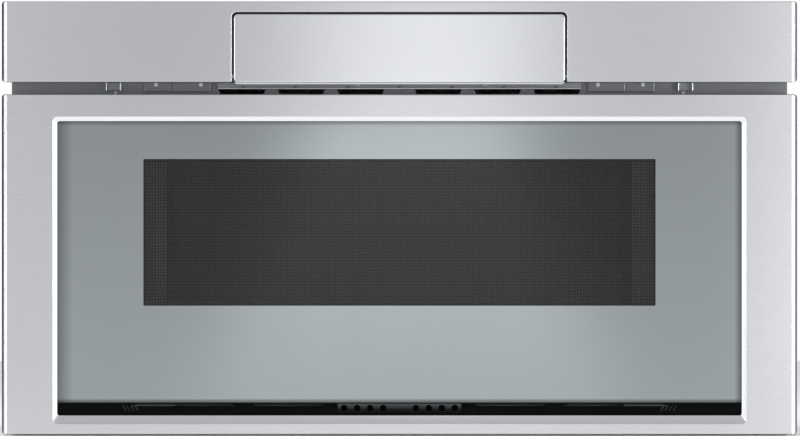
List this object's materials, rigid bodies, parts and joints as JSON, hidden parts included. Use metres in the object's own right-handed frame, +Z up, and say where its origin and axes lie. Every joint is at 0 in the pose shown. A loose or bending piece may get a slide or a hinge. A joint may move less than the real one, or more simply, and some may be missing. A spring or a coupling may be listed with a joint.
{
  "type": "microwave drawer",
  "caption": "Built-in microwave drawer: stainless frame with silvered glass door, fixed oven chamber and case, fascia with tilting control flap, ball slides and rack drive.",
  "frame": {"origin": "middle of the width and of the overall depth, on the underside of the base plate", "axes": "+X to the right seen from the room, drawer opens towards -Y, +Z up"},
  "size_m": [0.759, 0.618, 0.4145],
  "materials": {
    "stainless": "brushed along the width",
    "zinc_steel": "galvanised sheet",
    "plate_steel": "grey coated sheet",
    "cavity_steel": "satin stainless",
    "rail_steel": "bright zinc",
    "screw_steel": "bright zinc",
    "silver_glass": "silver-coated float glass",
    "clear_glass": "clear tempered glass",
    "black_screen": "black perforated sheet",
    "black_plastic": "moulded black",
    "black_glass": "black glass touch panel",
    "ceramic": "white glazed ceramic plate",
    "mica": "mica sheet",
    "gear_plastic": "moulded acetal",
    "motor_metal": "drawn metal cans",
    "core_steel": "varnished laminations",
    "board": "printed circuit board",
    "switch_plastic": "moulded nylon",
    "lamp_glass": "lamp and socket"
  },
  "bodies": {
    "cabinet": {"base_plate": "zinc_steel", "outer_case": "zinc_steel", "back_plate": "zinc_steel", "front_plate": "plate_steel", "exhaust_strip": "plate_steel", "fascia": "stainless", "fascia_bracket_left": "zinc_steel", "fascia_bracket_right": "zinc_steel", "oven_chamber": "cavity_steel", "stirrer_cover": "mica", "waveguide": "zinc_steel", "magnetron": "motor_metal", "stirrer_motor": "motor_metal", "oven_lamp": "lamp_glass", "fan_housing": "black_plastic", "fan_motor": "motor_metal", "air_duct": "black_plastic", "transformer": "core_steel", "capacitor": "motor_metal", "power_board": "board", "noise_filter": "board", "cord_bush": "black_plastic", "latch_switch_left": "switch_plastic", "latch_switch_right": "switch_plastic", "rail_support_left": "zinc_steel", "rail_support_right": "zinc_steel", "rail_outer_left": "rail_steel", "rail_outer_right": "rail_steel", "drive_motor": "motor_metal", "tilt_motor": "motor_metal", "back_screws": "screw_steel", "front_screws": "screw_steel"},
    "drawer": {"drawer_frame": "stainless", "door_glass": "silver_glass", "vent_grille": "black_plastic", "door_panel": "plate_steel", "window_screen": "black_screen", "choke_channel": "plate_steel", "choke_cover": "black_plastic", "drawer_bin": "cavity_steel", "inner_pane": "clear_glass", "ceramic_floor": "ceramic", "latch_hook_left": "screw_steel", "latch_hook_right": "screw_steel", "drive_rack": "gear_plastic", "rail_inner_left": "rail_steel", "rail_inner_right": "rail_steel"},
    "slide_left": {"rail_middle_left": "rail_steel"},
    "slide_right": {"rail_middle_right": "rail_steel"},
    "pinion": {"drive_pinion": "gear_plastic"},
    "flap": {"control_cover": "stainless", "control_housing": "black_plastic", "touch_glass": "black_glass", "control_board": "board", "hinge_pin_left": "screw_steel", "hinge_pin_right": "screw_steel"},
    "tilt_gear": {"tilt_pinion": "gear_plastic"},
    "stirrer_body": {"stirrer": "cavity_steel"},
    "fan": {"fan_wheel": "black_plastic"}
  },
  "joints": [
    {"name": "drawer_slide", "type": "slide", "parent": "cabinet", "child": "drawer", "axis": [0, -1, 0], "range_m": [0, 0.375]},
    {"name": "slide_left_travel", "type": "slide", "parent": "cabinet", "child": "slide_left", "axis": [0, -1, 0], "range_m": [0, 0.1875]},
    {"name": "slide_right_travel", "type": "slide", "parent": "cabinet", "child": "slide_right", "axis": [0, -1, 0], "range_m": [0, 0.1875]},
    {"name": "pinion_turn", "type": "hinge", "parent": "cabinet", "child": "pinion", "pos_m": [0.15, -0.229, 0.038], "axis": [1, 0, 0], "range_deg": [0, 1800]},
    {"name": "flap_tilt", "type": "hinge", "parent": "cabinet", "child": "flap", "pos_m": [0, -0.2997, 0.3431], "axis": [1, 0, 0], "range_deg": [0, 45]},
    {"name": "tilt_gear_turn", "type": "hinge", "parent": "cabinet", "child": "tilt_gear", "pos_m": [-0.1655, -0.28273, 0.36007], "axis": [1, 0, 0], "range_deg": [-115, 0]},
    {"name": "stirrer_turn", "type": "hinge", "parent": "cabinet", "child": "stirrer_body", "pos_m": [0, -0.049, 0.084], "axis": [0, 0, 1], "continuous": true},
    {"name": "fan_turn", "type": "hinge", "parent": "cabinet", "child": "fan", "pos_m": [-0.132, 0.238, 0.15], "axis": [1, 0, 0], "continuous": true}
  ],
  "couplings": [
    {"joint": "slide_left_travel", "follows": "drawer_slide", "ratio": 0.5},
    {"joint": "slide_right_travel", "follows": "drawer_slide", "ratio": 0.5},
    {"joint": "pinion_turn", "follows": "drawer_slide", "rad_per_m": 83.333},
    {"joint": "tilt_gear_turn", "follows": "flap_tilt", "ratio": -2.4286}
  ]
}
